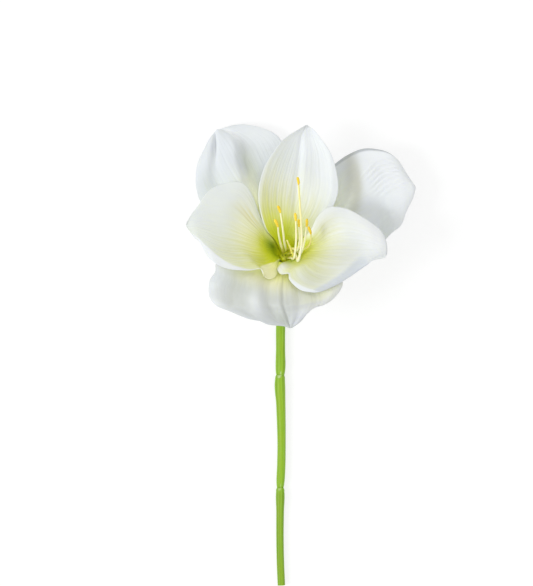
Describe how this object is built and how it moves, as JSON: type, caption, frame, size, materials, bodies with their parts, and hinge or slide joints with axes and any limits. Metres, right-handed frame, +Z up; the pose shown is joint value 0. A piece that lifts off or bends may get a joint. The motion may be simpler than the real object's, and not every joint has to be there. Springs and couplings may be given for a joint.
{
  "type": "amaryllis flower",
  "caption": "Cut amaryllis flower lying on a surface: an open white bloom of broad petals and sepals with stamens and a pistil, on a thin green stem.",
  "frame": {"origin": "centre of the bounding box in plan, at the height of the surface that the flower lies on", "axes": "+Y runs along the lying stem from its cut end to the flower head, +Z is up from the surface, +X is to the right of the flower seen from above"},
  "size_m": [0.1609, 0.327, 0.0808],
  "materials": {
    "tepal": "white, faintly veined, yellow-green towards the throat, soft satin",
    "stem": "yellow-green, smooth, with fine lengthwise lines",
    "ovary": "yellow-green, smooth, three-lobed",
    "tube": "yellow-green, with a fleshy cushion in the throat",
    "filament": "pale yellow, slightly glossy",
    "anther": "yellow-orange, powdery",
    "stigma": "yellow-orange, matt"
  },
  "bodies": {
    "root": {"anther_1": "anther", "anther_2": "anther", "anther_3": "anther", "anther_4": "anther", "anther_5": "anther", "anther_6": "anther", "filament_1": "filament", "filament_2": "filament", "filament_3": "filament", "filament_4": "filament", "filament_5": "filament", "filament_6": "filament", "ovary": "ovary", "perianth_tube": "tube", "petal_left": "tepal", "petal_right": "tepal", "petal_top": "tepal", "sepal_lower": "tepal", "sepal_right": "tepal", "sepal_upper_left": "tepal", "staminode": "filament", "stem": "stem", "stigma": "stigma", "style": "filament"}
  },
  "joints": []
}
